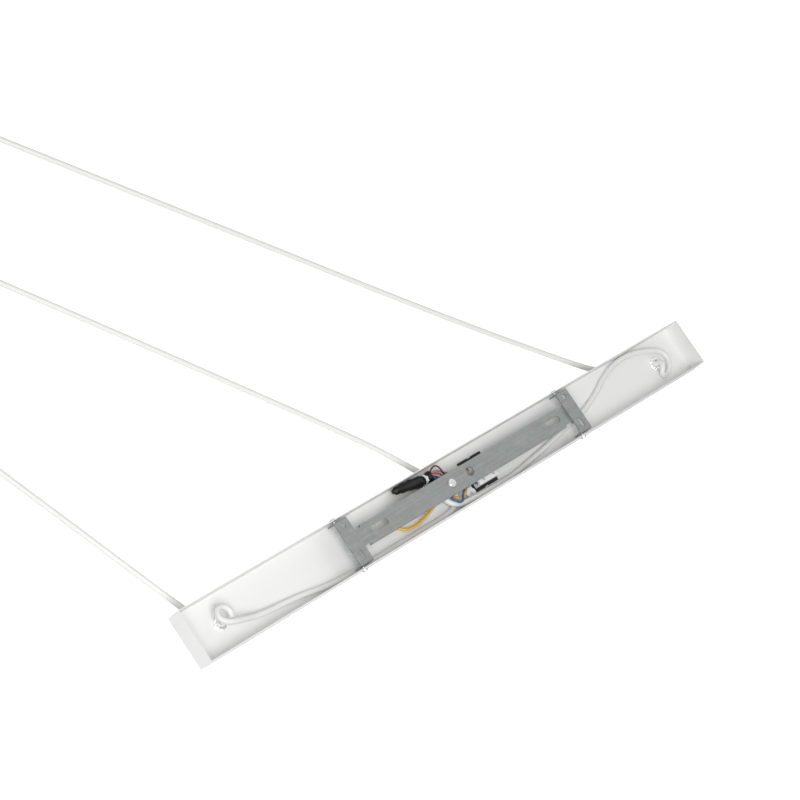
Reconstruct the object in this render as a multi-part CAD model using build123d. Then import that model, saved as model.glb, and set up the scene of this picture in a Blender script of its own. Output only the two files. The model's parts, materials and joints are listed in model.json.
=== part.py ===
"""Linear pendant light: a long steel ceiling canopy, its crossbar, its wiring and three cords with lampholders.

The canopy lies with its open ceiling side up. Lengths are in millimetres. The origin is the middle of the
ceiling plane, in which the canopy's rim and the crossbar's end plates lie. +X runs along the canopy, +Z points
at the ceiling, and heights called rise are measured upwards from the canopy's underside.
"""

from build123d import *
import math
import os

# Canopy
CANOPY_LENGTH = 800.0
CANOPY_WIDTH = 60.0
CANOPY_HEIGHT = 25.0
CANOPY_SHEET = 1.0
CANOPY_EDGE_RADIUS = 0.8
STANDING_HEIGHT = 21.0  # from the surface that it lies on to the canopy's underside
OUTLET_INSET = 47.0  # from the canopy's end to the outer cord outlets

# Crossbar
BAR_SHEET = 1.5
BAR_WIDTH = 24.0
BAR_NECK_WIDTH = 19.0
BAR_NECK_LENGTH = 13.0
BAR_FLANGE = 5.0  # depth of the folded edge, outside
BAR_STEP = 2.7  # the bar lies this far below the end plates
END_PLATE_SPACING = 358.0
END_PLATE_OFFSET = 1.5  # towards +X
END_PLATE_LENGTH = 18.5
END_PLATE_WIDTH = 53.5
END_TAB_DEPTH = 13.0
BEND_RADIUS = 0.6
END_HOLE_RADIUS = 2.9
END_HOLE_Y = 19.2
END_SLOT_WIDTH = 4.8
END_SLOT_LENGTH = 10.0
END_SLOT_Y = -15.6
BAR_SLOT_WIDTH = 7.5
BAR_SLOT_LENGTH = 24.5
BAR_SLOT_SPACING = 282.0
BAR_SLOT_OFFSET = 5.5
BAR_SLOT_Y = 1.2
BAR_HOLE_RADIUS = 5.25
BAR_HOLE_X = 6.5
BAR_HOLE_Y = 1.2

# Screws and nuts
SIDE_SCREW_RISE = 14.0
SIDE_SCREW_RADIUS = 1.95
SIDE_SCREW_REACH = 9.0  # from under the head to the tip
SIDE_HEAD_RADIUS = 3.6
SIDE_HEAD_HEIGHT = 2.2
SCREW_CLEARANCE = 0.2
EARTH_SCREW_X = -24.0
EARTH_SCREW_RADIUS = 2.0
EARTH_SCREW_REACH = 9.0
EARTH_HEAD_RADIUS = 5.2
EARTH_HEAD_HEIGHT = 2.5
EARTH_NUT_RADIUS = 3.9
EARTH_NUT_HEIGHT = 3.2
LUG_SHEET = 0.8
LUG_RADIUS = 4.0
LUG_LENGTH = 9.0
STUD_X = -95.0
STUD_Y = 3.0
STUD_HEIGHT = 9.0
STUD_LUG_ANGLE = 30.0

# Cord outlets
STEM_RADIUS = 4.9
STEM_RISE = 6.0  # the threaded stem ends this far above the canopy's underside
OUTLET_FLANGE_RADIUS = 9.0
OUTLET_FLANGE_HEIGHT = 2.5
TAIL_RADIUS = 6.2
TAIL_LENGTH = 5.0
GRIP_CAP_RADIUS = 8.3
GRIP_CAP_END = 1.7
GRIP_GROOVES = 12
GRIP_GROOVE_DEPTH = 0.45
THREAD_CLEARANCE = 0.15
END_CLEARANCE = 0.3
SEAL_WALL = 1.7
SEAL_HEIGHT = 3.5
WASHER_SHEET = 0.8
WASHER_RADIUS = 8.2
WASHER_TEETH = 18
RING_NUT_RADIUS = 7.2
RING_NUT_HEIGHT = 3.2
RING_NUT_NOTCHES = 12

# Cord
CORD_DIAMETER = 6.4
CORD_CLEARANCE = 0.3

# Terminal block
BASE_LENGTH = 36.0
BASE_WIDTH = 37.6
BASE_HEIGHT = 2.0
BASE_X = 32.0
BASE_Y = -2.0
BLOCK_LENGTH = 30.0
BLOCK_WIDTH = 27.0
BLOCK_HEIGHT = 12.0
BLOCK_X = 31.0
BLOCK_Y = -3.7
POLES = 3
POLE_PITCH = 9.0
SLEEVE_RADIUS = 2.6
SLEEVE_WALL = 0.7
SLEEVE_RISE = 8.0
CLAMP_SCREW_RADIUS = 1.7
CLAMP_SCREW_SPACING = 16.0
CLAMP_HEAD_DEPTH = 1.5  # the screw's top lies this far below the block's top

# Wires, splice and saddle
CORE_RADIUS = 1.15
EARTH_CORE_RADIUS = 1.5
THIN_CORE_RADIUS = 0.9
SADDLE_SHEET = 1.6
SADDLE_RADIUS = 6.5
SADDLE_HOLE_RADIUS = 2.1
SADDLE_X = 5.0
SADDLE_Y = -18.6
SADDLE_POST_HEIGHT = 3.4
TIE_WIDTH = 2.6
TIE_SHEET = 1.0
TIE_CLEARANCE = 0.5
SPLICE_WALL = 1.0
SPLICE_MOUTH_DEPTH = 3.0

# Lampholder, measured along its axis from the cord's entry to its mouth
HOLDER_BORE_LENGTH = 9.0
HOLDER_NOZZLE_RADIUS = 6.5
HOLDER_NOZZLE_LENGTH = 7.0
HOLDER_CAP_RADIUS = 20.5
HOLDER_CAP_LENGTH = 34.0
HOLDER_CAP_SHOULDER = 22.0
HOLDER_WALL = 2.2
HOLDER_LENGTH = 74.0
SHOULDER_RADIUS = 24.5
SHOULDER_HEIGHT = 4.0
SKIRT_RADIUS = 19.0
THREAD_RADIUS = 19.7
THREAD_PITCH = 3.5
THREAD_LENGTH = 28.0
INSERT_HEIGHT = 14.0
INSERT_LEDGE = 2.0
SOCKET_RADIUS = 13.5
SOCKET_SHEET = 0.5
SOCKET_FOOT = 5.0  # the wider foot that stands on the insert, round the centre contact
SOCKET_LENGTH = 15.0
CONTACT_RADIUS = 3.5
CONTACT_HEIGHT = 3.0
CONTACT_TRAVEL = 1.2
SHADE_GAP = 1.5
SHADE_RING_RADIUS = 23.8
SHADE_RING_HEIGHT = 7.0
SHADE_RING_GRIPS = 24

# Derived places
UNDERSIDE = -CANOPY_HEIGHT
FLOOR_TOP = UNDERSIDE + CANOPY_SHEET
SURFACE = UNDERSIDE - STANDING_HEIGHT
WALL_Y = CANOPY_WIDTH / 2
CORD_RADIUS = CORD_DIAMETER / 2
CORD_BORE = CORD_RADIUS + CORD_CLEARANCE
ON_SURFACE = SURFACE + CORD_RADIUS
FLANGE_BOTTOM = UNDERSIDE - OUTLET_FLANGE_HEIGHT
TAIL_END = FLANGE_BOTTOM - TAIL_LENGTH
GRIP_MOUTH = TAIL_END - END_CLEARANCE - GRIP_CAP_END
BAR_TOP = -BAR_STEP
BAR_UNDER = BAR_TOP - BAR_SHEET
SIDE_SCREW_Z = UNDERSIDE + SIDE_SCREW_RISE
OUTLETS = [OUTLET_INSET - CANOPY_LENGTH / 2, 0.0, CANOPY_LENGTH / 2 - OUTLET_INSET]
PLATE_ENDS = [END_PLATE_OFFSET + side * END_PLATE_SPACING / 2 for side in (-1, 1)]
HOLDER_AXIS_Z = SURFACE + SHOULDER_RADIUS
SOCKET_START = HOLDER_CAP_LENGTH + INSERT_LEDGE + INSERT_HEIGHT

# Cord routes inside the canopy, as (x, y, rise) by hand
INNER_ROUTES = [
    [
        (-353.0, 0.0, 9.5), (-346.5, -4.5, 11.0), (-341.0, 3.0, 12.3), (-345.5, 12.0, 13.6),
        (-355.5, 13.0, 15.0), (-360.5, 4.5, 16.4), (-355.0, -4.0, 17.4), (-344.5, -7.5, 17.0),
        (-331.0, -10.0, 12.6), (-311.0, -13.8, 7.2), (-285.0, -15.6, 4.6), (-256.0, -18.0, 4.3),
        (-228.0, -23.0, 4.3), (-199.0, -25.4, 4.3), (-150.0, -25.6, 4.3), (-95.0, -25.3, 4.3),
        (-48.0, -25.6, 4.3), (-26.0, -23.8, 4.3), (-14.5, -15.0, 4.3), (-12.2, -3.5, 4.4),
        (-14.5, 6.5, 4.6),
    ],
    [
        (0.0, 0.0, 11.5), (-7.0, 1.8, 15.0), (-17.0, 4.0, 15.2), (-24.0, 6.5, 15.0),
    ],
    [
        (353.0, 0.0, 11.0), (349.5, -8.0, 14.6), (345.5, -14.5, 9.5), (352.0, -18.6, 4.8),
        (363.0, -16.0, 4.5), (371.5, -7.0, 4.5), (373.5, 4.0, 4.5), (364.5, 13.0, 4.6),
        (345.0, 20.3, 4.6), (324.0, 25.0, 4.5), (299.0, 25.2, 4.4), (271.0, 18.4, 4.3),
        (243.0, 5.2, 4.3), (215.0, -4.0, 4.3), (186.0, -9.0, 4.3), (158.0, -13.2, 4.3),
        (130.0, -18.0, 4.3), (102.0, -21.4, 4.3), (73.0, -25.0, 4.3), (40.0, -25.6, 5.2),
        (15.0, -25.2, 9.2), (-4.0, -24.6, 11.0), (-19.5, -24.0, 11.4), (-31.0, -18.5, 11.2),
        (-34.5, -7.0, 9.0), (-33.0, 5.0, 6.0),
    ],
]

# Cord routes on the surface, as (x, y) by hand, from below the outlet to where the coil begins
OUTER_ROUTES = [
    [(-364.3, 27.2), (-384.2, 71.0), (-414.6, 141.6), (-457.0, 238.3)],
    [(-15.0, 23.0), (-35.0, 53.0), (-63.0, 91.5), (-112.0, 150.4), (-224.5, 283.6), (-339.6, 417.6)],
    [(324.0, 9.0), (293.0, 25.5), (262.0, 49.0), (128.4, 177.6), (-61.8, 375.0), (-240.6, 559.6)],
]
PAST_VIEW = 55.0  # from the end of the listed route to abreast of the coil's middle
FIRST_DROP = 3.0  # below the grip's mouth the cord turns towards the surface's direction

# Coils
COIL_RADII = [34.4, 32.4, 38.0]  # to the middle of the turns
COIL_TURNS = [5, 4, 2]  # whole turns, wound two side by side; an odd last one lies on the inner column
COIL_SLACK = 0.3
HOLDER_REACH = 62.0  # from the coil's middle to the lampholder's cord entry, along -X
CORD_IN_HOLDER = 15.0

# Routes of the single cores, as (x, y, rise) by hand
WIRE_ROUTES = {
    "earth_wire": (EARTH_CORE_RADIUS, [
        (-98.9, 0.8, 4.6), (-104.2, -3.4, 5.0), (-105.2, -9.8, 5.6), (-101.2, -15.4, 6.4), (-92.0, -18.2, 7.4),
        (-79.0, -18.2, 8.2), (-65.0, -15.2, 9.0), (-51.0, -10.2, 10.4), (-41.0, -6.0, 13.4),
        (-35.5, -3.6, 17.4), (-30.5, -1.9, 18.9),
    ]),
    "blue_wire": (CORE_RADIUS, [
        (18.5, -12.7, 8.0), (11.0, -11.2, 10.0), (3.0, -10.0, 13.6), (-5.0, -11.3, 15.2), (-13.0, -14.2, 16.0),
        (-18.5, -21.8, 16.4), (-24.5, -22.4, 16.4), (-28.3, -16.5, 16.2), (-29.0, -8.0, 15.2),
        (-29.5, 1.0, 12.6), (-29.0, 9.5, 11.0), (-31.5, 15.5, 9.2), (-41.5, 18.0, 8.3),
    ]),
    "yellow_core": (CORE_RADIUS, [
        (18.5, -3.7, 8.0), (12.5, -3.2, 9.0), (4.5, -7.2, 10.6), (-4.0, -14.2, 11.8), (-11.5, -17.4, 11.8),
        (-18.5, -17.0, 10.8), (-24.0, -11.0, 8.8), (-23.0, -2.0, 7.0), (-19.0, 5.5, 6.4),
    ]),
    "brown_wire": (CORE_RADIUS, [
        (18.5, 5.3, 8.0), (9.0, 6.8, 9.6), (-1.5, 9.0, 10.4), (-11.0, 12.2, 10.6), (-18.0, 16.0, 12.8),
        (-23.5, 20.4, 14.2), (-29.5, 22.2, 12.0), (-34.5, 21.4, 9.4), (-41.5, 21.1, 8.6),
    ]),
    "black_wire": (THIN_CORE_RADIUS, [
        (-14.0, 4.8, 10.0), (-18.8, 9.0, 13.0), (-20.6, 16.0, 16.4), (-23.4, 24.4, 18.2),
        (-28.0, 26.8, 17.6), (-33.0, 24.0, 14.4), (-36.0, 20.6, 12.0), (-41.5, 19.6, 11.3),
    ]),
}

# Sleeve over the splice, as (x, y, rise, radius) from its closed tip to its mouth
SPLICE_STATIONS = [
    (-90.0, 25.0, 12.2, 2.2), (-85.0, 24.3, 12.0, 4.2), (-72.0, 22.8, 11.0, 5.2), (-58.0, 21.2, 9.8, 6.0),
    (-49.5, 20.2, 9.2, 6.4), (-46.0, 19.8, 9.2, 5.2), (-43.3, 19.6, 9.4, 4.7), (-38.5, 19.3, 9.8, 6.0),
    (-34.0, 19.2, 10.2, 6.3),
]
SPLICE_TIE_STATION = 6
SPLICED = ("blue_wire", "brown_wire", "black_wire")


def block(x, y, z):
    """A box from its three spans, each given as (low, high)."""
    spans = (x, y, z)
    middle = [(low + high) / 2 for low, high in spans]
    return Pos(*middle) * Box(*[high - low for low, high in spans])


def rod(x, y, low, high, radius):
    """An upright cylinder between two heights."""
    return Pos(x, y, (low + high) / 2) * Cylinder(radius, high - low)


def ring(x, y, low, high, inner, outer):
    return rod(x, y, low, high, outer) - rod(x, y, low - 1, high + 1, inner)


def slot_cutter(x, y, low, high, length, width, angle=0.0):
    """An upright cutter with round ends, its length along X or turned by angle."""
    flat = Pos(x, y, low) * Rot(0, 0, angle) * SlotOverall(length, width)
    return extrude(flat, high - low)


def toothed_disc(inner, outer, root, teeth, height):
    """A flat ring with teeth round its rim, lying on the XY plane."""
    points = []
    for i in range(2 * teeth):
        reach = outer if i % 2 else root
        angle = math.pi * i / teeth
        points.append((reach * math.cos(angle), reach * math.sin(angle)))
    face = make_face(Polyline(*points, close=True))
    return extrude(face, height) - rod(0, 0, -1, height + 1, inner)


def bend_radii(points):
    """The largest tangent arc that each corner's two runs allow."""
    vectors = [Vector(*p) for p in points]
    radii = []
    for before, corner, after in zip(vectors, vectors[1:], vectors[2:]):
        turn = math.radians((corner - before).get_angle(after - corner))
        shorter = min((corner - before).length, (after - corner).length)
        radii.append(0.45 * shorter / math.tan(turn / 2))
    return radii


def tube(name, points, radius):
    """A round solid along straight runs that are joined by tangent arcs."""
    radii = bend_radii(points)
    path = FilletPolyline(*points, radius=radii)
    start = Plane(origin=path @ 0, z_dir=path % 0)
    solid = sweep(start * Circle(radius), path=path)
    share = solid.volume / (math.pi * radius**2 * path.length)
    print(f"{name}: {path.length:.1f} long, tightest radius {min(radii):.1f}, volume share {share:.4f}")
    return solid


def above_underside(points):
    return [(x, y, UNDERSIDE + rise) for x, y, rise in points]


def canopy_tray():
    """The folded steel tray, open at the ceiling, with its cord and side screw holes."""
    outer = block(
        (-CANOPY_LENGTH / 2, CANOPY_LENGTH / 2), (-WALL_Y, WALL_Y), (UNDERSIDE, 0)
    )
    corners = outer.edges().filter_by(Axis.Z) + outer.faces().sort_by(Axis.Z)[0].edges()
    outer = fillet(corners, CANOPY_EDGE_RADIUS)
    inside = (
        (-CANOPY_LENGTH / 2 + CANOPY_SHEET, CANOPY_LENGTH / 2 - CANOPY_SHEET),
        (-WALL_Y + CANOPY_SHEET, WALL_Y - CANOPY_SHEET),
        (FLOOR_TOP, CANOPY_HEIGHT),
    )
    tray = outer - block(*inside)
    for x in OUTLETS:
        tray -= rod(x, 0, UNDERSIDE - 1, FLOOR_TOP + 1, STEM_RADIUS + SCREW_CLEARANCE)
    tray -= rod(STUD_X, STUD_Y, UNDERSIDE - 1, FLOOR_TOP + 1, EARTH_SCREW_RADIUS)
    hole = Cylinder(SIDE_SCREW_RADIUS + SCREW_CLEARANCE, CANOPY_WIDTH + 2)
    for x in PLATE_ENDS:
        tray -= Pos(x, 0, SIDE_SCREW_Z) * Rot(90, 0, 0) * hole
    return tray


def bar_outline(half_length):
    """The bar's web from above: necked at both ends, with a flare where it meets the step."""
    neck_start = half_length - BAR_NECK_LENGTH
    half, neck = BAR_WIDTH / 2, BAR_NECK_WIDTH / 2
    quarter = [
        (neck_start, half), (neck_start + half - neck, neck),
        (half_length - half + neck, neck), (half_length, half),
    ]
    upper = [(-x, y) for x, y in reversed(quarter)] + quarter
    outline = upper + [(x, -y) for x, y in reversed(upper)]
    return make_face(Polyline(*outline, close=True))


def end_plate(x):
    """An end plate with its folded tabs, as a bent strip across the bar."""
    half = END_PLATE_WIDTH / 2
    depth = END_TAB_DEPTH
    inner = half - BAR_SHEET
    section = [
        (-half, -depth), (-half, 0), (half, 0), (half, -depth),
        (inner, -depth), (inner, -BAR_SHEET), (-inner, -BAR_SHEET), (-inner, -depth),
    ]
    face = make_face(Polyline(*[(x - END_PLATE_LENGTH / 2, y, z) for y, z in section], close=True))
    strip = extrude(face, amount=END_PLATE_LENGTH, dir=(1, 0, 0))
    folds = strip.edges().filter_by(Axis.X)
    strip = fillet(folds.group_by(Axis.Z)[-1], BAR_SHEET + BEND_RADIUS)
    inside = [e for e in strip.edges().filter_by(Axis.X) if abs(e.center().Z + BAR_SHEET) < 0.01]
    return fillet([e for e in inside if abs(abs(e.center().Y) - inner) < 0.01], BEND_RADIUS)


def crossbar():
    """The ceiling bracket: a flanged bar that steps up to a plate with two folded tabs at each end."""
    inner_ends = END_PLATE_SPACING / 2 - END_PLATE_LENGTH / 2 + BAR_SHEET
    bracket = Pos(END_PLATE_OFFSET, 0, BAR_UNDER) * extrude(bar_outline(inner_ends), BAR_SHEET)
    flange_end = inner_ends - BAR_NECK_LENGTH
    span = (END_PLATE_OFFSET - flange_end, END_PLATE_OFFSET + flange_end)
    for side in (-1, 1):
        edge = sorted((side * BAR_WIDTH / 2, side * (BAR_WIDTH / 2 - BAR_SHEET)))
        bracket += block(span, edge, (BAR_TOP - BAR_FLANGE, BAR_TOP - BAR_SHEET / 2))
    for x, side in zip(PLATE_ENDS, (-1, 1)):
        near = x - side * END_PLATE_LENGTH / 2
        riser = sorted((near, near + side * BAR_SHEET))
        bracket += block(riser, (-BAR_WIDTH / 2, BAR_WIDTH / 2), (BAR_UNDER, -BAR_SHEET / 2))
        bracket += end_plate(x)
    for cutter in crossbar_cutters():
        bracket -= cutter
    return bracket


def crossbar_cutters():
    """Every hole and slot of the crossbar."""
    below, above = BAR_TOP - BAR_FLANGE - 1, 1
    cuts = [rod(BAR_HOLE_X, BAR_HOLE_Y, below, above, BAR_HOLE_RADIUS)]
    cuts.append(rod(EARTH_SCREW_X, 0, below, above, EARTH_SCREW_RADIUS + SCREW_CLEARANCE))
    for side in (-1, 1):
        x = BAR_SLOT_OFFSET + side * BAR_SLOT_SPACING / 2
        cuts.append(slot_cutter(x, BAR_SLOT_Y, below, above, BAR_SLOT_LENGTH, BAR_SLOT_WIDTH))
    notch = 2 * (SIDE_SCREW_RADIUS + SCREW_CLEARANCE)
    for x in PLATE_ENDS:
        cuts.append(rod(x, END_HOLE_Y, -BAR_SHEET - 1, above, END_HOLE_RADIUS))
        slot = slot_cutter(
            x, END_SLOT_Y, -BAR_SHEET - 1, above, END_SLOT_LENGTH, END_SLOT_WIDTH, angle=90
        )
        cuts.append(slot)
        length = END_TAB_DEPTH
        middle = SIDE_SCREW_Z + notch / 2 - length / 2
        upright = Plane(origin=(x, -CANOPY_WIDTH / 2, middle), x_dir=(0, 0, 1), z_dir=(0, 1, 0))
        cuts.append(extrude(upright * SlotOverall(length, notch), CANOPY_WIDTH))
    return cuts


def pan_head(radius, height):
    """A domed screw head on the XY plane, with a cross recess in its crown."""
    head = Cylinder(radius, height, align=(Align.CENTER, Align.CENTER, Align.MIN))
    head = fillet(head.edges().sort_by(Axis.Z)[-1], height * 0.7)
    for angle in (0, 90):
        cut = Rot(0, 0, angle) * Box(radius * 1.05, radius * 0.22, height * 0.8)
        head -= Pos(0, 0, height) * cut
    return head


def side_screw(x, side):
    """One of the screws that hold the canopy to the crossbar's tabs, its head outside the wall."""
    screw = pan_head(SIDE_HEAD_RADIUS, SIDE_HEAD_HEIGHT)
    screw += rod(0, 0, -SIDE_SCREW_REACH, 0, SIDE_SCREW_RADIUS)
    return Pos(x, side * WALL_Y, SIDE_SCREW_Z) * Rot(-90 * side, 0, 0) * screw


def earth_screw():
    screw = pan_head(EARTH_HEAD_RADIUS, EARTH_HEAD_HEIGHT)
    screw += rod(0, 0, -EARTH_SCREW_REACH, 0, EARTH_SCREW_RADIUS)
    return Pos(EARTH_SCREW_X, 0, BAR_TOP) * screw


def hex_nut(radius, height, bore):
    nut = extrude(RegularPolygon(radius, 6, major_radius=False), height)
    return nut - rod(0, 0, -1, height + 1, bore)


def ring_lug():
    """A flat ring terminal on the XY plane, with its crimp barrel along -X."""
    lug = rod(0, 0, 0, LUG_SHEET, LUG_RADIUS)
    lug += block((-LUG_LENGTH + 3, 0), (-LUG_RADIUS / 2, LUG_RADIUS / 2), (0, LUG_SHEET))
    return lug - rod(0, 0, -1, LUG_SHEET + 1, EARTH_SCREW_RADIUS + SCREW_CLEARANCE)


def outlet_body(x):
    """The hollow threaded bush that carries a cord through the canopy's floor."""
    body = rod(x, 0, FLANGE_BOTTOM, UNDERSIDE, OUTLET_FLANGE_RADIUS)
    body += rod(x, 0, UNDERSIDE, UNDERSIDE + STEM_RISE, STEM_RADIUS)
    body += rod(x, 0, TAIL_END, FLANGE_BOTTOM, TAIL_RADIUS)
    body -= rod(x, 0, TAIL_END - 1, UNDERSIDE + STEM_RISE + 1, CORD_BORE)
    return body - rod(x, 0, TAIL_END - 1, TAIL_END + SEAL_HEIGHT, CORD_BORE + SEAL_WALL)


def outlet_seal(x):
    low = TAIL_END + SCREW_CLEARANCE
    return ring(x, 0, low, TAIL_END + SEAL_HEIGHT, CORD_BORE - CORD_CLEARANCE / 2, CORD_BORE + SEAL_WALL - 0.1)


def grip_cap(x):
    """The cap that turns on the bush's tail and clamps the cord, with grooves for the fingers."""
    top = FLANGE_BOTTOM - END_CLEARANCE
    cap = rod(0, 0, GRIP_MOUTH, top, GRIP_CAP_RADIUS)
    cap = fillet(cap.edges().sort_by(Axis.Z)[0], 1.2)
    cap -= rod(0, 0, TAIL_END - END_CLEARANCE, top + 1, TAIL_RADIUS + THREAD_CLEARANCE)
    cap -= rod(0, 0, GRIP_MOUTH - 1, top, CORD_BORE)
    for i in range(GRIP_GROOVES):
        groove = Rot(0, 0, 360 * i / GRIP_GROOVES) * Pos(GRIP_CAP_RADIUS + GRIP_GROOVE_DEPTH, 0, 0)
        cap -= groove * rod(0, 0, GRIP_MOUTH + 1.5, top + 1, 2 * GRIP_GROOVE_DEPTH)
    return Pos(x, 0, 0) * cap


def lock_washer(x):
    washer = toothed_disc(
        STEM_RADIUS + SCREW_CLEARANCE, WASHER_RADIUS, WASHER_RADIUS - 1.2, WASHER_TEETH, WASHER_SHEET
    )
    return Pos(x, 0, FLOOR_TOP) * washer


def ring_nut(x):
    """The slotted round nut above the toothed washer."""
    nut = ring(0, 0, 0, RING_NUT_HEIGHT, STEM_RADIUS + THREAD_CLEARANCE, RING_NUT_RADIUS)
    for i in range(RING_NUT_NOTCHES):
        notch = Box(1.6, 1.4, 2 * RING_NUT_HEIGHT)
        nut -= Rot(0, 0, 360 * i / RING_NUT_NOTCHES) * Pos(RING_NUT_RADIUS, 0, 0) * notch
    return Pos(x, 0, FLOOR_TOP + WASHER_SHEET) * nut


def terminal_base():
    """The black insulating plate under the terminal block, with a notch in each long edge."""
    low, high = FLOOR_TOP, FLOOR_TOP + BASE_HEIGHT
    plate = block(
        (BASE_X - BASE_LENGTH / 2, BASE_X + BASE_LENGTH / 2),
        (BASE_Y - BASE_WIDTH / 2, BASE_Y + BASE_WIDTH / 2),
        (low, high),
    )
    for side in (-1, 1):
        plate -= Pos(BASE_X, BASE_Y + side * BASE_WIDTH / 2, low) * Box(6, 1.6, 3 * BASE_HEIGHT)
    return plate


def pole_places():
    return [BLOCK_Y + POLE_PITCH * (i - (POLES - 1) / 2) for i in range(POLES)]


def terminal_block():
    """The white block: a through channel and two screw wells for each pole."""
    low = FLOOR_TOP + BASE_HEIGHT
    body = block(
        (BLOCK_X - BLOCK_LENGTH / 2, BLOCK_X + BLOCK_LENGTH / 2),
        (BLOCK_Y - BLOCK_WIDTH / 2, BLOCK_Y + BLOCK_WIDTH / 2),
        (low, low + BLOCK_HEIGHT),
    )
    body = chamfer(body.faces().sort_by(Axis.Z)[-1].edges(), 1.0)
    channel = Rot(0, 90, 0) * Cylinder(SLEEVE_RADIUS + 0.1, BLOCK_LENGTH + 2)
    for y in pole_places():
        body -= Pos(BLOCK_X, y, UNDERSIDE + SLEEVE_RISE) * channel
        for side in (-1, 1):
            x = BLOCK_X + side * CLAMP_SCREW_SPACING / 2
            body -= rod(x, y, UNDERSIDE + SLEEVE_RISE, 0, CLAMP_SCREW_RADIUS + SCREW_CLEARANCE)
    for i in range(POLES - 1):
        y = BLOCK_Y + POLE_PITCH * (i - (POLES - 2) / 2)
        body -= Pos(BLOCK_X, y, low + BLOCK_HEIGHT) * Box(BLOCK_LENGTH + 2, 1.2, 5)
    return body


def terminal_sleeves():
    """The brass tubes that the terminal block's screws clamp wires in."""
    sleeves = []
    length = BLOCK_LENGTH - 4
    for y in pole_places():
        sleeve = Rot(0, 90, 0) * (
            Cylinder(SLEEVE_RADIUS, length) - Cylinder(SLEEVE_RADIUS - SLEEVE_WALL, length + 2)
        )
        sleeve = Pos(BLOCK_X, y, UNDERSIDE + SLEEVE_RISE) * sleeve
        for side in (-1, 1):
            x = BLOCK_X + side * CLAMP_SCREW_SPACING / 2
            sleeve -= rod(x, y, UNDERSIDE + SLEEVE_RISE, 0, CLAMP_SCREW_RADIUS + 0.1)
        sleeves.append(sleeve)
    return sleeves


def terminal_screws():
    """The slotted clamp screws, sunk in the block's wells."""
    screws = []
    top = FLOOR_TOP + BASE_HEIGHT + BLOCK_HEIGHT - CLAMP_HEAD_DEPTH
    low = UNDERSIDE + SLEEVE_RISE + SLEEVE_RADIUS - SLEEVE_WALL
    for y in pole_places():
        for side in (-1, 1):
            x = BLOCK_X + side * CLAMP_SCREW_SPACING / 2
            screw = rod(x, y, low, top, CLAMP_SCREW_RADIUS)
            screws.append(screw - Pos(x, y, top) * Box(0.6, 2 * CLAMP_SCREW_RADIUS + 1, 1.2))
    return screws


def cord_saddle():
    """The white nylon saddle: a round eye on a short foot that stands on the canopy's floor."""
    eye_low = FLOOR_TOP + SADDLE_POST_HEIGHT
    eye = rod(SADDLE_X, SADDLE_Y, eye_low, eye_low + SADDLE_SHEET, SADDLE_RADIUS)
    eye += rod(SADDLE_X, SADDLE_Y, FLOOR_TOP, eye_low, SADDLE_HOLE_RADIUS + SADDLE_SHEET)
    return eye - rod(SADDLE_X, SADDLE_Y, FLOOR_TOP - 1, 0, SADDLE_HOLE_RADIUS)


def splice_frame(index):
    """The plane across the sleeve at one of its stations."""
    places = [Vector(x, y, UNDERSIDE + rise) for x, y, rise, _ in SPLICE_STATIONS]
    before = places[max(index - 1, 0)]
    after = places[min(index + 1, len(places) - 1)]
    return Plane(origin=places[index], z_dir=after - before)


def splice_sleeve(wires):
    """The black sleeve over the joined cores, closed at its tip and open at its mouth."""
    rings = [splice_frame(i) * Circle(s[3]) for i, s in enumerate(SPLICE_STATIONS)]
    mouth_radius = SPLICE_STATIONS[-1][3] - SPLICE_WALL
    mouth = splice_frame(len(SPLICE_STATIONS) - 1).location * Cylinder(mouth_radius, 2 * SPLICE_MOUTH_DEPTH)
    return loft(rings, ruled=True) - mouth - wires


def splice_tie():
    """The white tie round the sleeve's neck."""
    radius = SPLICE_STATIONS[SPLICE_TIE_STATION][3]
    radius += TIE_CLEARANCE
    band = Cylinder(radius + TIE_SHEET, TIE_WIDTH) - Cylinder(radius, TIE_WIDTH + 2)
    return splice_frame(SPLICE_TIE_STATION).location * band


def inner_cord(index):
    """A cord from its outlet's mouth up through the bush and along the canopy to its middle."""
    x = OUTLETS[index]
    route = INNER_ROUTES[index]
    stretch = x / route[0][0] if x else 1.0  # the route begins above its outlet, wherever that is
    route = [(px * stretch, y, rise) for px, y, rise in route]
    points = [(x, 0, GRIP_MOUTH)] + above_underside(route)
    return tube(f"inner_cord_{index + 1}", points, CORD_RADIUS)


def coil_middle(index):
    """The coil's centre, and the place abreast of it where the lead is tangent to the outer turns."""
    before, last = [Vector(*p) for p in OUTER_ROUTES[index][-2:]]
    along = (last - before).normalized()
    left = Vector(-along.Y, along.X)
    abreast = last + along * PAST_VIEW
    return abreast + left * outer_turn(index), abreast


def outer_turn(index):
    """The radius of a coil's outer column of turns, to the cord's centre."""
    return COIL_RADII[index] + CORD_RADIUS


def top_turn(index):
    """The height of the cord's centre where it lies on the coil's finished turns."""
    return SURFACE + math.ceil(COIL_TURNS[index] / 2 - 0.5) * CORD_DIAMETER + CORD_RADIUS


def coil(index):
    """The closed outer shape of a coil's turns, lying on the surface."""
    middle, _ = coil_middle(index)
    half = CORD_DIAMETER + COIL_SLACK
    inner, outer = COIL_RADII[index] - half, COIL_RADII[index] + half
    pairs = COIL_TURNS[index] // 2
    top = SURFACE + pairs * CORD_DIAMETER
    shape = ring(middle.X, middle.Y, SURFACE, top, inner, outer)
    shape = fillet(shape.edges().filter_by(GeomType.CIRCLE), CORD_RADIUS * 0.8)
    if COIL_TURNS[index] % 2:
        last = ring(middle.X, middle.Y, top - CORD_RADIUS, top + CORD_DIAMETER, inner, COIL_RADII[index])
        edges = last.edges().filter_by(GeomType.CIRCLE).group_by(Axis.Z)[-1]
        shape += fillet(edges, CORD_RADIUS * 0.8)
    return shape


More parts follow.
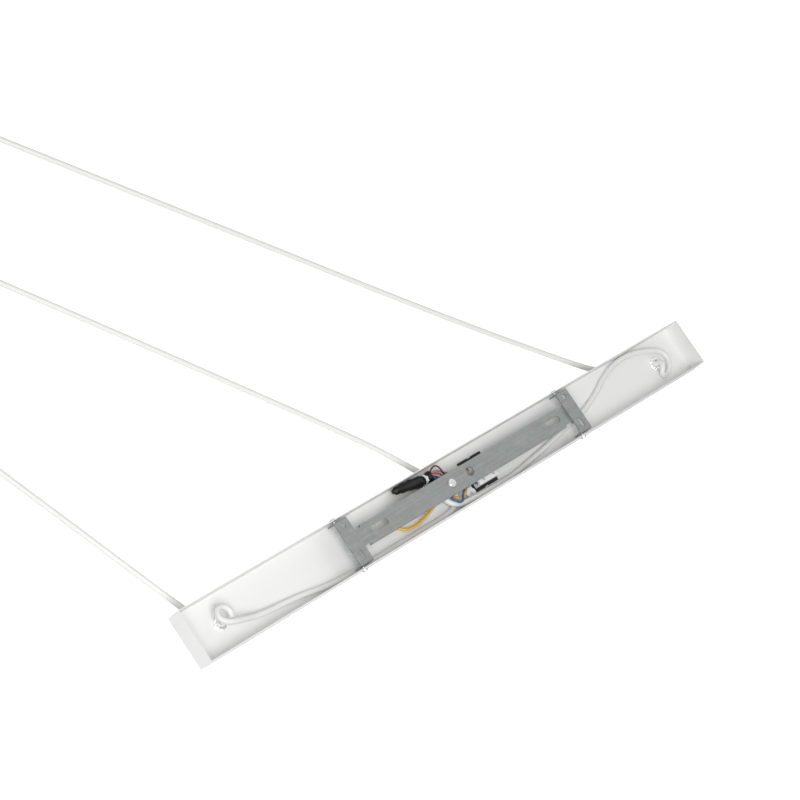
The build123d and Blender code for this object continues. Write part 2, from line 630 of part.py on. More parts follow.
def cord_lead(index):
    """A cord from its outlet's mouth down to the surface and along it to its coil."""
    x = OUTLETS[index]
    _, abreast = coil_middle(index)
    flat = OUTER_ROUTES[index][:-1] + [(abreast.X, abreast.Y)]
    toward = (Vector(*flat[0]) - Vector(x, 0)).normalized()
    low = GRIP_MOUTH - FIRST_DROP
    points = [(x, 0, GRIP_MOUTH), (x, 0, low)]
    down = low - ON_SURFACE
    points.append((x + toward.X * down * 0.9, toward.Y * down * 0.9, ON_SURFACE))
    points += [(px, py, ON_SURFACE) for px, py in flat]
    return tube(f"cord_lead_{index + 1}", points, CORD_RADIUS)


def holder_entry(index):
    """Where a coil's cord enters its lampholder."""
    middle, _ = coil_middle(index)
    return Vector(middle.X - HOLDER_REACH, middle.Y + outer_turn(index), HOLDER_AXIS_Z)


def cord_tail(index):
    """The cord's end: from the coil's top turn up into the lampholder."""
    middle, _ = coil_middle(index)
    entry = holder_entry(index)
    low = top_turn(index)
    points = [
        (middle.X, entry.Y, low), (middle.X - 22, entry.Y, low + 1),
        (entry.X + 14, entry.Y, HOLDER_AXIS_Z), (entry.X - CORD_IN_HOLDER, entry.Y, HOLDER_AXIS_Z),
    ]
    return tube(f"cord_tail_{index + 1}", points, CORD_RADIUS)


def outer_cord(index):
    """Both stretches of a free cord that aren't coiled."""
    rolled = coil(index)
    return [cord_lead(index) - rolled, cord_tail(index) - rolled]


def in_holder(index, shape):
    """Lay a lampholder piece, built along +Z from the cord's entry, on its side with its mouth at -X."""
    entry = holder_entry(index)
    return Pos(entry.X, entry.Y, entry.Z) * Rot(0, -90, 0) * shape


def turned(profile):
    """A round solid from its half section, given as (radius, distance along the axis)."""
    face = make_face(Polyline(*[(r, 0, z) for r, z in profile], close=True))
    return revolve(face, Axis.Z)


def holder_cap():
    """The lampholder's dome, with its cord nozzle."""
    outside = [
        (0, 0), (HOLDER_NOZZLE_RADIUS, 0), (HOLDER_NOZZLE_RADIUS, HOLDER_NOZZLE_LENGTH),
        (HOLDER_CAP_RADIUS * 0.62, HOLDER_NOZZLE_LENGTH + 3.5),
        (HOLDER_CAP_RADIUS * 0.87, HOLDER_NOZZLE_LENGTH + 8.0),
        (HOLDER_CAP_RADIUS, HOLDER_CAP_SHOULDER), (HOLDER_CAP_RADIUS, HOLDER_CAP_LENGTH),
        (0, HOLDER_CAP_LENGTH),
    ]
    inside = [
        (0, HOLDER_BORE_LENGTH), (HOLDER_NOZZLE_RADIUS - HOLDER_WALL / 2, HOLDER_BORE_LENGTH),
        (HOLDER_CAP_RADIUS * 0.87 - HOLDER_WALL, HOLDER_NOZZLE_LENGTH + 8.0 + HOLDER_WALL),
        (HOLDER_CAP_RADIUS - HOLDER_WALL, HOLDER_CAP_SHOULDER + 1), (HOLDER_CAP_RADIUS - HOLDER_WALL, 40),
        (0, 40),
    ]
    return turned(outside) - turned(inside) - rod(0, 0, -1, HOLDER_CAP_LENGTH, CORD_BORE)


def holder_body():
    """The lampholder's skirt: a shoulder that a shade lies against, and an outer thread."""
    start, end = HOLDER_CAP_LENGTH, HOLDER_LENGTH
    body = rod(0, 0, start, end, SKIRT_RADIUS)
    body += rod(0, 0, start, start + SHOULDER_HEIGHT, SHOULDER_RADIUS)
    for i in range(int(THREAD_LENGTH / THREAD_PITCH)):
        low = end - THREAD_LENGTH + i * THREAD_PITCH
        body += rod(0, 0, low, low + THREAD_PITCH / 2, THREAD_RADIUS)
    inner = SKIRT_RADIUS - HOLDER_WALL
    body -= rod(0, 0, start + INSERT_LEDGE, end + 1, inner)
    return body - rod(0, 0, start - 1, end + 1, inner - 2)


def holder_insert():
    """The ceramic insert that carries the contacts, seated on the skirt's ledge."""
    start = HOLDER_CAP_LENGTH + INSERT_LEDGE
    radius = SKIRT_RADIUS - HOLDER_WALL - END_CLEARANCE
    insert = rod(0, 0, start, SOCKET_START, radius)
    well = CONTACT_RADIUS + END_CLEARANCE
    return insert - rod(0, 0, SOCKET_START - CONTACT_TRAVEL - 1, SOCKET_START + 1, well)


def socket_sleeve():
    """The rolled thread sleeve that a lamp's cap screws into, on a wider foot."""
    start = SOCKET_START + SOCKET_FOOT
    foot_radius = SOCKET_RADIUS + 2 * SOCKET_SHEET
    sleeve = ring(0, 0, SOCKET_START, start, foot_radius, foot_radius + SOCKET_SHEET)
    sleeve += ring(0, 0, start, start + SOCKET_SHEET, SOCKET_RADIUS, foot_radius + SOCKET_SHEET)
    sleeve += ring(0, 0, start, start + SOCKET_LENGTH, SOCKET_RADIUS, SOCKET_RADIUS + SOCKET_SHEET)
    for i in range(int(SOCKET_LENGTH / THREAD_PITCH)):
        low = start + 1.0 + i * THREAD_PITCH
        sleeve += ring(0, 0, low, low + THREAD_PITCH / 2, SOCKET_RADIUS, foot_radius)
    return sleeve


def centre_contact():
    """The sprung contact at the socket's bottom, which a lamp pushes in."""
    low = SOCKET_START - 1 + SCREW_CLEARANCE
    button = rod(0, 0, low, low + CONTACT_HEIGHT, CONTACT_RADIUS)
    return fillet(button.edges().sort_by(Axis.Z)[-1], 1.0)


def shade_ring():
    """The ring that turns on the skirt's thread and clamps a shade to the shoulder."""
    low = HOLDER_CAP_LENGTH + SHOULDER_HEIGHT + SHADE_GAP
    band = ring(0, 0, low, low + SHADE_RING_HEIGHT, THREAD_RADIUS + END_CLEARANCE, SHADE_RING_RADIUS)
    for i in range(SHADE_RING_GRIPS):
        groove = Rot(0, 0, 360 * i / SHADE_RING_GRIPS) * Pos(SHADE_RING_RADIUS + 0.4, 0, 0)
        band -= groove * rod(0, 0, low + 1.5, low + SHADE_RING_HEIGHT + 1, 0.9)
    return band


def canopy_nodes():
    nodes = {"canopy_tray": canopy_tray()}
    for i, x in enumerate(OUTLETS):
        nodes[f"outlet_bush_{i + 1}"] = outlet_body(x)
        nodes[f"grip_cap_{i + 1}"] = grip_cap(x)
    nodes["outlet_seals"] = [outlet_seal(x) for x in OUTLETS]
    nodes["lock_washers"] = [lock_washer(x) for x in OUTLETS]
    nodes["ring_nuts"] = [ring_nut(x) for x in OUTLETS]
    stud = rod(STUD_X, STUD_Y, UNDERSIDE, FLOOR_TOP + STUD_HEIGHT, EARTH_SCREW_RADIUS)
    nodes["canopy_earth_stud"] = stud
    nodes["canopy_earth_lug"] = Pos(STUD_X, STUD_Y, FLOOR_TOP) * Rot(0, 0, STUD_LUG_ANGLE) * ring_lug()
    nut = hex_nut(EARTH_NUT_RADIUS, EARTH_NUT_HEIGHT, EARTH_SCREW_RADIUS + 0.05)
    nodes["canopy_earth_nut"] = Pos(STUD_X, STUD_Y, FLOOR_TOP + LUG_SHEET) * nut
    return nodes


def crossbar_nodes():
    nodes = {"crossbar": crossbar(), "earth_screw": earth_screw()}
    nut = hex_nut(EARTH_NUT_RADIUS, EARTH_NUT_HEIGHT, EARTH_SCREW_RADIUS + 0.05)
    lug_low = BAR_UNDER - LUG_SHEET
    nodes["bar_earth_lug"] = Pos(EARTH_SCREW_X, 0, lug_low) * Rot(0, 0, 17) * ring_lug()
    nodes["bar_earth_nut"] = Pos(EARTH_SCREW_X, 0, lug_low - EARTH_NUT_HEIGHT) * nut
    number = 0
    for x in PLATE_ENDS:
        for side in (-1, 1):
            number += 1
            nodes[f"side_screw_{number}"] = side_screw(x, side)
    return nodes


def wiring_nodes():
    nodes = {
        "terminal_base": terminal_base(),
        "terminal_block": terminal_block(),
        "terminal_sleeves": terminal_sleeves(),
        "terminal_screws": terminal_screws(),
        "cord_saddle": cord_saddle(),
        "splice_tie": splice_tie(),
    }
    for name, (radius, points) in WIRE_ROUTES.items():
        nodes[name] = tube(name, above_underside(points), radius)
    nodes["splice_sleeve"] = splice_sleeve([nodes[name] for name in SPLICED])
    for i in range(len(OUTLETS)):
        nodes[f"inner_cord_{i + 1}"] = inner_cord(i)
    return nodes


def cord_end_nodes():
    nodes = {}
    for i in range(len(OUTLETS)):
        nodes[f"outer_cord_{i + 1}"] = outer_cord(i)
        nodes[f"cord_coil_{i + 1}"] = coil(i)
        nodes[f"holder_cap_{i + 1}"] = in_holder(i, holder_cap())
        nodes[f"holder_body_{i + 1}"] = in_holder(i, holder_body())
        nodes[f"holder_insert_{i + 1}"] = in_holder(i, holder_insert())
        nodes[f"centre_contact_{i + 1}"] = in_holder(i, centre_contact())
        nodes[f"shade_ring_{i + 1}"] = in_holder(i, shade_ring())
    nodes["socket_sleeves"] = [in_holder(i, socket_sleeve()) for i in range(len(OUTLETS))]
    return nodes


def main():
    os.makedirs("parts", exist_ok=True)
    nodes = canopy_nodes() | crossbar_nodes() | wiring_nodes() | cord_end_nodes()
    for name, shape in nodes.items():
        solids = shape if isinstance(shape, list) else [shape]
        pieces = [solid for one in solids for solid in one.solids()]
        whole = pieces[0] if len(pieces) == 1 else Compound(children=pieces)
        whole.label = name
        export_step(whole, f"parts/{name}.step")


main()
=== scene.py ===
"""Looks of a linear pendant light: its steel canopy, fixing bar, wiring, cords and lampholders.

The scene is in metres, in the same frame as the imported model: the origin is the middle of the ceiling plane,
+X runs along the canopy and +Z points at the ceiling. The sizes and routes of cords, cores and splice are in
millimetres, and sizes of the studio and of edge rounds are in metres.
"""

from __future__ import annotations

import json
import logging
import math
from dataclasses import dataclass, field
from enum import Enum

import bmesh
import bpy
from mathutils import Matrix, Vector

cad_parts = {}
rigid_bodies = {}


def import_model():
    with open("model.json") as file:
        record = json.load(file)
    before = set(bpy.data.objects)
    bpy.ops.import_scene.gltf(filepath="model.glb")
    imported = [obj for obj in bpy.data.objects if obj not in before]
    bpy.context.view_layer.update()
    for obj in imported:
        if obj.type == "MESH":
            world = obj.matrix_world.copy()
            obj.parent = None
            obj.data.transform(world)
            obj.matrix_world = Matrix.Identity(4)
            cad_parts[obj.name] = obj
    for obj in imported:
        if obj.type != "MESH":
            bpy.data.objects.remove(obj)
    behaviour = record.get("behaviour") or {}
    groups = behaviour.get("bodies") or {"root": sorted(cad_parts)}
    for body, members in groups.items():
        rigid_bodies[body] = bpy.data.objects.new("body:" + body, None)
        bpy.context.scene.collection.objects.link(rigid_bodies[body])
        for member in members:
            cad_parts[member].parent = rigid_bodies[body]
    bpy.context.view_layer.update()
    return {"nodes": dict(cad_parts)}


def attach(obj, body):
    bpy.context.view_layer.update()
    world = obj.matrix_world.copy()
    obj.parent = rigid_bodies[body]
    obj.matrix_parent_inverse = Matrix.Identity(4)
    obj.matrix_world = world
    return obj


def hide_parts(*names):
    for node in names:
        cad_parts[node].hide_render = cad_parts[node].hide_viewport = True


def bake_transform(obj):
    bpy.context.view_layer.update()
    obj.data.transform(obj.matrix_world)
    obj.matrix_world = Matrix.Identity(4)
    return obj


LOG = logging.getLogger("pendant")
MM = 0.001
SHARP = math.radians(40)  # edges that turn by more than this are softened
UNDERSIDE = -25.0  # the canopy's underside, in millimetres
SURFACE = -46.0  # the surface that the light lies on
CORD_DIAMETER = 6.4
CORD_RADIUS = CORD_DIAMETER / 2
ON_SURFACE = SURFACE + CORD_RADIUS
GRIP_MOUTH = -34.5
FIRST_DROP = 3.0
OUTLETS = (-353.0, 0.0, 353.0)

Point = tuple[float, float, float]
Flat = tuple[float, float]
Colour = tuple[float, float, float]


class Grain(Enum):
    """The small relief of a finish."""

    PEEL = "orange peel of powder coat"
    MOULDED = "fine matte of a moulding"
    CAST = "soft unevenness"


class Tree:
    """A material's nodes, with short calls for the ones that the finishes use."""

    def __init__(self, name: str) -> None:
        """Start a material with only its shader.

        Args:
            name: The material's name.
        """
        self.material = bpy.data.materials.new(name)
        self.material.use_nodes = True
        self.nodes = self.material.node_tree.nodes
        self.links = self.material.node_tree.links
        self.shader = self.nodes["Principled BSDF"]

    def place(self, scale: Point = (1.0, 1.0, 1.0)) -> bpy.types.NodeSocket:
        """The object's own coordinates, stretched by scale."""
        coordinates = self.nodes.new("ShaderNodeTexCoord")
        mapping = self.nodes.new("ShaderNodeMapping")
        mapping.inputs["Scale"].default_value = scale
        self.links.new(coordinates.outputs["Object"], mapping.inputs["Vector"])
        return mapping.outputs["Vector"]

    def noise(self, vector: bpy.types.NodeSocket, scale: float, detail: float = 3.0) -> bpy.types.NodeSocket:
        """A noise value.

        Args:
            vector: Where it is read.
            scale: Cells per metre.
            detail: Octaves.

        Returns:
            The noise's factor.
        """
        node = self.nodes.new("ShaderNodeTexNoise")
        node.inputs["Scale"].default_value = scale
        node.inputs["Detail"].default_value = detail
        self.links.new(vector, node.inputs["Vector"])
        return node.outputs["Fac"]

    def cells(self, vector: bpy.types.NodeSocket, scale: float) -> bpy.types.NodeSocket:
        """The flat colour of crystal-like cells."""
        node = self.nodes.new("ShaderNodeTexVoronoi")
        node.inputs["Scale"].default_value = scale
        self.links.new(vector, node.inputs["Vector"])
        return node.outputs["Color"]

    def ramp(self, value: bpy.types.NodeSocket, stops: list[tuple[float, Colour]]) -> bpy.types.NodeSocket:
        """Turn a value into a colour.

        Args:
            value: The value, from 0 to 1.
            stops: Positions and their colours.

        Returns:
            The colour.
        """
        node = self.nodes.new("ShaderNodeValToRGB")
        elements = node.color_ramp.elements
        while len(elements) < len(stops):
            elements.new(0.5)
        for element, (position, colour) in zip(elements, stops):
            element.position = position
            element.color = (*colour, 1.0)
        self.links.new(value, node.inputs["Fac"])
        return node.outputs["Color"]

    def spread(self, value: bpy.types.NodeSocket, low: float, high: float) -> bpy.types.NodeSocket:
        """Map a value from 0.3 to 0.7 onto low to high."""
        node = self.nodes.new("ShaderNodeMapRange")
        node.inputs["From Min"].default_value = 0.3
        node.inputs["From Max"].default_value = 0.7
        node.inputs["To Min"].default_value = low
        node.inputs["To Max"].default_value = high
        self.links.new(value, node.inputs["Value"])
        return node.outputs["Result"]

    def bump(self, height: bpy.types.NodeSocket, distance: float) -> None:
        """Raise the surface by a height, over a distance in metres."""
        node = self.nodes.new("ShaderNodeBump")
        node.inputs["Distance"].default_value = distance
        node.inputs["Strength"].default_value = 1.0
        self.links.new(height, node.inputs["Height"])
        self.links.new(node.outputs["Normal"], self.shader.inputs["Normal"])

    def set(self, **values: float) -> None:
        """Set plain values on the shader, each named as its socket with _ for a space."""
        for name, value in values.items():
            self.shader.inputs[name.replace("_", " ")].default_value = value


def shade(colour: Colour, factor: float) -> Colour:
    """A colour made lighter or darker."""
    return tuple(min(1.0, part * factor) for part in colour)


@dataclass(frozen=True)
class Finish:
    """A surface with a slightly uneven colour and roughness and a fine relief."""

    name: str
    colour: Colour
    roughness: float
    metallic: float = 0.0
    mottle: float = 0.03  # how far the colour wanders
    dulling: float = 0.05  # how far the roughness wanders
    cells_per_metre: float = 90.0
    grain: Grain = Grain.MOULDED
    depth: float = 0.00002
    grain_per_metre: float = 2600.0
    coat: float = 0.0
    specular: float = 0.5

    def material(self) -> bpy.types.Material:
        """Build the finish's material."""
        tree = Tree(self.name)
        spot = tree.place()
        wander = tree.noise(spot, self.cells_per_metre, 4.0)
        stops = [(0.3, shade(self.colour, 1 - self.mottle)), (0.7, shade(self.colour, 1 + self.mottle))]
        tree.links.new(tree.ramp(wander, stops), tree.shader.inputs["Base Color"])
        dull = tree.noise(spot, self.cells_per_metre * 2.3)
        rough = tree.spread(dull, self.roughness - self.dulling, self.roughness + self.dulling)
        tree.links.new(rough, tree.shader.inputs["Roughness"])
        tree.set(Metallic=self.metallic, Coat_Weight=self.coat, Specular_IOR_Level=self.specular)
        detail = 1.0 if self.grain is Grain.PEEL else 4.0
        tree.bump(tree.noise(tree.place(), self.grain_per_metre, detail), self.depth)
        return tree.material


@dataclass(frozen=True)
class Galvanised:
    """Zinc-dipped sheet: soft cells over long roll marks, with brighter worn spots."""

    name: str
    colour: Colour = (0.268, 0.294, 0.286)
    roughness: float = 0.44
    metallic: float = 0.5
    roll_marks: Point = (14.0, 900.0, 900.0)  # cells per metre, long along X
    soft_clouds: Point = (60.0, 150.0, 150.0)
    fine_marks: Point = (30.0, 1600.0, 1600.0)
    crystals_per_metre: float = 260.0
    crystal_share: float = 0.07
    cloud_share: float = 0.3
    saturation: float = 0.6
    relief: float = 0.00002

    def material(self) -> bpy.types.Material:
        """Build the sheet's material."""
        tree = Tree(self.name)
        streaks = tree.noise(tree.place(self.roll_marks), 1.0, 5.0)
        clouds = tree.noise(tree.place(self.soft_clouds), 1.0)
        crystals = tree.cells(tree.place(), self.crystals_per_metre)
        mix = tree.nodes.new("ShaderNodeMix")
        mix.inputs["Factor"].default_value = self.cloud_share
        tree.links.new(streaks, mix.inputs["A"])
        tree.links.new(clouds, mix.inputs["B"])
        stops = [(0.30, shade(self.colour, 0.84)), (0.5, self.colour), (0.70, shade(self.colour, 1.2))]
        base = tree.ramp(mix.outputs["Result"], stops)
        tint = tree.nodes.new("ShaderNodeMix")
        tint.data_type = "RGBA"
        tint.blend_type = "SOFT_LIGHT"
        tint.inputs["Factor"].default_value = self.crystal_share
        tree.links.new(base, tint.inputs[6])
        tree.links.new(crystals, tint.inputs[7])
        grey = tree.nodes.new("ShaderNodeHueSaturation")
        grey.inputs["Saturation"].default_value = self.saturation
        tree.links.new(tint.outputs[2], grey.inputs["Color"])
        tree.links.new(grey.outputs["Color"], tree.shader.inputs["Base Color"])
        rough = tree.spread(streaks, self.roughness - 0.1, self.roughness + 0.1)
        tree.links.new(rough, tree.shader.inputs["Roughness"])
        tree.set(Metallic=self.metallic)
        tree.bump(tree.noise(tree.place(self.fine_marks), 1.0), self.relief)
        return tree.material


@dataclass
class Finishes:
    """Every finish of the light, built once."""

    coat: bpy.types.Material = field(init=False)
    galvanised: bpy.types.Material = field(init=False)
    bare_edge_and_highlight: bpy.types.Material = field(init=False)
    plated: bpy.types.Material = field(init=False)
    bright: bpy.types.Material = field(init=False)
    flex: bpy.types.Material = field(init=False)
    nylon: bpy.types.Material = field(init=False)
    black: bpy.types.Material = field(init=False)
    sleeve: bpy.types.Material = field(init=False)
    rubber: bpy.types.Material = field(init=False)
    brass: bpy.types.Material = field(init=False)
    blue: bpy.types.Material = field(init=False)
    yellow: bpy.types.Material = field(init=False)
    earth: bpy.types.Material = field(init=False)
    brown: bpy.types.Material = field(init=False)
    thin_black: bpy.types.Material = field(init=False)
    ceramic: bpy.types.Material = field(init=False)
    moulding: bpy.types.Material = field(init=False)

    def __post_init__(self) -> None:
        """Build all the materials."""
        self.coat = Finish(
            "white_powder_coat", (0.885, 0.888, 0.88), 0.36, mottle=0.008, cells_per_metre=9.0,
            grain=Grain.PEEL, depth=0.00003, grain_per_metre=1100.0,
        ).material()
        self.galvanised = Galvanised("galvanised_sheet").material()
        # The bar's rounds: bare steel of the cut edge, painted far lighter than the sheet, which is also a painted
        # highlight along every edge.
        self.bare_edge_and_highlight = Finish(
            "bare_edge_painted_highlight", (0.74, 0.76, 0.75), 0.3, metallic=0.6, mottle=0.1, cells_per_metre=700.0,
            grain=Grain.CAST, depth=0.00001,
        ).material()
        self.plated = Finish(
            "zinc_plate", (0.60, 0.61, 0.60), 0.3, metallic=0.85, mottle=0.12, cells_per_metre=420.0,
            grain=Grain.CAST, grain_per_metre=1900.0,
        ).material()
        self.bright = Finish(
            "bright_plate", (0.80, 0.80, 0.79), 0.2, metallic=0.9, mottle=0.08, cells_per_metre=500.0,
            grain=Grain.CAST, grain_per_metre=1500.0,
        ).material()
        self.flex = Finish(
            "white_flex", (0.86, 0.86, 0.845), 0.42, mottle=0.012, cells_per_metre=60.0,
            grain=Grain.MOULDED, depth=0.00004, grain_per_metre=900.0,
        ).material()
        self.nylon = Finish(
            "white_nylon", (0.85, 0.855, 0.85), 0.4, mottle=0.015, cells_per_metre=150.0,
            grain=Grain.MOULDED, depth=0.00003,
        ).material()
        self.black = Finish("black_board", (0.012, 0.012, 0.013), 0.5, mottle=0.2, specular=0.3).material()
        self.sleeve = Finish(
            "black_sleeve", (0.009, 0.009, 0.01), 0.4, mottle=0.25, cells_per_metre=260.0,
            grain=Grain.CAST, depth=0.0003, grain_per_metre=420.0, specular=0.3,
        ).material()
        self.rubber = Finish("seal_rubber", (0.03, 0.03, 0.03), 0.7, mottle=0.15).material()
        self.brass = Finish(
            "plain_brass", (0.72, 0.55, 0.26), 0.3, metallic=0.95, mottle=0.1, cells_per_metre=300.0,
            grain=Grain.CAST,
        ).material()
        self.blue = Finish("blue_core", (0.018, 0.125, 0.29), 0.38, mottle=0.06).material()
        self.yellow = Finish("orange_yellow_core", (0.83, 0.44, 0.035), 0.38, mottle=0.05).material()
        self.earth = Finish("yellow_earth_core", (0.84, 0.51, 0.05), 0.4, mottle=0.06).material()
        self.brown = Finish("red_brown_core", (0.50, 0.20, 0.21), 0.38, mottle=0.08).material()
        self.thin_black = Finish("black_core", (0.032, 0.018, 0.016), 0.4, mottle=0.2).material()
        self.ceramic = Finish(
            "glazed_ceramic", (0.86, 0.84, 0.80), 0.22, mottle=0.03, coat=0.3, grain=Grain.CAST,
        ).material()
        self.moulding = Finish(
            "gloss_moulding", (0.87, 0.87, 0.86), 0.24, mottle=0.01, coat=0.2, grain=Grain.MOULDED,
            depth=0.00001,
        ).material()


def dress(thing: bpy.types.Object, material: bpy.types.Material) -> None:
    """Give an object one material, on all its faces."""
    thing.data.materials.clear()
    thing.data.materials.append(material)


def rounded(thing: bpy.types.Object, width: float, edge: bpy.types.Material | None = None) -> None:
    """Break an object's sharp edges.

    Args:
        thing: The object.
        width: The round's width in metres.
        edge: A finish of its own for the rounds.
    """
    bevel = thing.modifiers.new("edge_round", "BEVEL")
    bevel.width = width
    bevel.segments = 2
    bevel.limit_method = "ANGLE"
    bevel.angle_limit = SHARP
    bevel.harden_normals = False
    if edge is not None:
        thing.data.materials.append(edge)
        bevel.material = 1


def curve_piece(name: str, points: list[Point], radius: float, material: bpy.types.Material) -> bpy.types.Object:
    """A round cord along a smooth line, closed at both ends.

    Args:
        name: The piece's name.
        points: Control points in millimetres.
        radius: Its radius in millimetres.
        material: Its finish.

    Returns:
        The curve object.
    """
    data = bpy.data.curves.new(name, "CURVE")
    data.dimensions = "3D"
    data.resolution_u = 12
    data.bevel_depth = radius * MM
    data.bevel_resolution = 5
    data.use_fill_caps = True
    spline = data.splines.new("NURBS")
    spline.points.add(len(points) - 1)
    for target, point in zip(spline.points, points):
        target.co = (*[part * MM for part in point], 1.0)
    spline.order_u = 3
    spline.use_endpoint_u = True
    data.materials.append(material)
    piece = bpy.data.objects.new(name, data)
    bpy.context.scene.collection.objects.link(piece)
    return piece


def as_mesh(curve: bpy.types.Object) -> bpy.types.Object:
    """Replace a curve object by the mesh that it draws.

    Args:
        curve: The curve object, which is deleted.

    Returns:
        A mesh object of the same name.
    """
    name = curve.name
    graph = bpy.context.evaluated_depsgraph_get()
    data = bpy.data.meshes.new_from_object(curve.evaluated_get(graph), depsgraph=graph)
    material = curve.data.materials[0]
    bpy.data.objects.remove(curve)
    data.materials.clear()
    data.materials.append(material)
    piece = bpy.data.objects.new(name, data)
    bpy.context.scene.collection.objects.link(piece)
    return piece


def mesh_piece(name: str, mesh: bmesh.types.BMesh, material: bpy.types.Material) -> bpy.types.Object:
    """Turn a finished bmesh into an object.

    Args:
        name: The piece's name.
        mesh: Its faces, in metres.
        material: Its finish.

    Returns:
        The mesh object, smooth shaded.
    """
    data = bpy.data.meshes.new(name)
    bmesh.ops.recalc_face_normals(mesh, faces=mesh.faces)
    for face in mesh.faces:
        face.smooth = True
    mesh.to_mesh(data)
    mesh.free()
    data.materials.append(material)
    piece = bpy.data.objects.new(name, data)
    bpy.context.scene.collection.objects.link(piece)
    return piece


def raised(points: list[Point]) -> list[Point]:
    """Turn heights above the canopy's underside into heights in the frame."""
    return [(x, y, UNDERSIDE + rise) for x, y, rise in points]


@dataclass
class Studio:
    """Camera, floor, lights and world, as the photograph was taken."""

    frame_pixels: float = 800.0
    focal_pixels: float = 2282.0
    sensor: float = 36.0
    eye: Point = (-1.5723, -0.1609, 1.8923)
    right: Point = (0.68051, -0.55392, 0.47966)
    down: Point = (-0.37393, -0.82549, -0.42278)
    ahead: Point = (0.63014, 0.10835, -0.76888)
    floor_size: float = 12.0
    floor_drop: float = 0.00005  # the surface lies this far under the cords
    floor_colour: Colour = (0.94, 0.94, 0.94)
    floor_glow: float = 0.64  # only the camera sees it
    world_strength: float = 0.31
    key: tuple[Point, float, float] = ((-1.5, -0.7, 2.2), 1.6, 53.0)  # place, side and watts
    fill: tuple[Point, float, float] = ((1.6, 1.2, 2.0), 2.0, 6.0)

    def camera(self) -> None:
        """Set up the camera that was fitted to the canopy's corners."""
        data = bpy.data.cameras.new("camera")
        data.sensor_width = self.sensor
        data.lens = self.focal_pixels / self.frame_pixels * self.sensor
        data.clip_start = 0.01
        data.clip_end = 60.0
        camera = bpy.data.objects.new("camera", data)
        bpy.context.scene.collection.objects.link(camera)
        turn = Matrix((self.right, [-part for part in self.down], [-part for part in self.ahead])).transposed()
        camera.matrix_world = Matrix.Translation(self.eye) @ turn.to_4x4()
        bpy.context.scene.camera = camera

    def see_white(self, tree: bpy.types.NodeTree, lit: bpy.types.NodeSocket, target: bpy.types.NodeSocket) -> None:
        """Show plain white to the camera and in reflections, and the lit shader to everything else.

        Args:
            tree: The nodes to add to.
            lit: The shader that lights the object.
            target: The output to feed.
        """
        path = tree.nodes.new("ShaderNodeLightPath")
        seen = tree.nodes.new("ShaderNodeMath")
        seen.operation = "MAXIMUM"
        tree.links.new(path.outputs["Is Camera Ray"], seen.inputs[0])
        tree.links.new(path.outputs["Is Glossy Ray"], seen.inputs[1])
        either = tree.nodes.new("ShaderNodeMath")
        either.operation = "MAXIMUM"
        tree.links.new(seen.outputs[0], either.inputs[0])
        tree.links.new(path.outputs["Is Transmission Ray"], either.inputs[1])
        white = tree.nodes.new("ShaderNodeBackground")
        white.inputs["Color"].default_value = (1.0, 1.0, 1.0, 1.0)
        white.inputs["Strength"].default_value = 1.0
        mix = tree.nodes.new("ShaderNodeMixShader")
        tree.links.new(either.outputs[0], mix.inputs["Fac"])
        tree.links.new(lit, mix.inputs[1])
        tree.links.new(white.outputs[0], mix.inputs[2])
        tree.links.new(mix.outputs[0], target)

    def floor(self) -> None:
        """Lay the white surface that the light rests on; it keeps the object's shadow."""
        mesh = bmesh.new()
        bmesh.ops.create_grid(mesh, x_segments=1, y_segments=1, size=self.floor_size / 2)
        tree = Tree("white_surface")
        tree.set(Roughness=0.9, Specular_IOR_Level=0.1)
        tree.shader.inputs["Base Color"].default_value = (*self.floor_colour, 1.0)
        glow = tree.nodes.new("ShaderNodeEmission")
        glow.inputs["Color"].default_value = (1.0, 1.0, 1.0, 1.0)
        glow.inputs["Strength"].default_value = self.floor_glow
        path = tree.nodes.new("ShaderNodeLightPath")
        gate = tree.nodes.new("ShaderNodeMixShader")
        dark = tree.nodes.new("ShaderNodeEmission")
        dark.inputs["Strength"].default_value = 0.0
        tree.links.new(path.outputs["Is Camera Ray"], gate.inputs["Fac"])
        tree.links.new(dark.outputs[0], gate.inputs[1])
        tree.links.new(glow.outputs[0], gate.inputs[2])
        both = tree.nodes.new("ShaderNodeAddShader")
        tree.links.new(tree.shader.outputs[0], both.inputs[0])
        tree.links.new(gate.outputs[0], both.inputs[1])
        tree.links.new(both.outputs[0], tree.nodes["Material Output"].inputs["Surface"])
        floor = mesh_piece("surface", mesh, tree.material)
        floor.location.z = SURFACE * MM - self.floor_drop

    def lamp(self, name: str, place: Point, size: float, power: float) -> None:
        """Hang a square soft lamp that faces the canopy.

        Args:
            name: Its name.
            place: Where it hangs.
            size: Its side in metres.
            power: Its power in watts.
        """
        data = bpy.data.lights.new(name, "AREA")
        data.size = size
        data.energy = power
        lamp = bpy.data.objects.new(name, data)
        lamp.location = place
        lamp.rotation_euler = (-Vector(place)).to_track_quat("-Z", "Y").to_euler()
        bpy.context.scene.collection.objects.link(lamp)

    def world(self) -> None:
        """Light everything evenly from all sides, and show white behind the floor."""
        world = bpy.data.worlds.new("studio")
        bpy.context.scene.world = world
        world.use_nodes = True
        tree = world.node_tree
        lit = tree.nodes["Background"]
        lit.inputs["Color"].default_value = (1.0, 1.0, 1.0, 1.0)
        lit.inputs["Strength"].default_value = self.world_strength
        self.see_white(tree, lit.outputs[0], tree.nodes["World Output"].inputs["Surface"])

    def build(self) -> None:
        """Make the whole studio."""
        bpy.context.scene.view_settings.view_transform = "Standard"
        self.camera()
        self.world()
        self.floor()
        self.lamp("key", *self.key)
        self.lamp("fill", *self.fill)
        LOG.info("studio built")


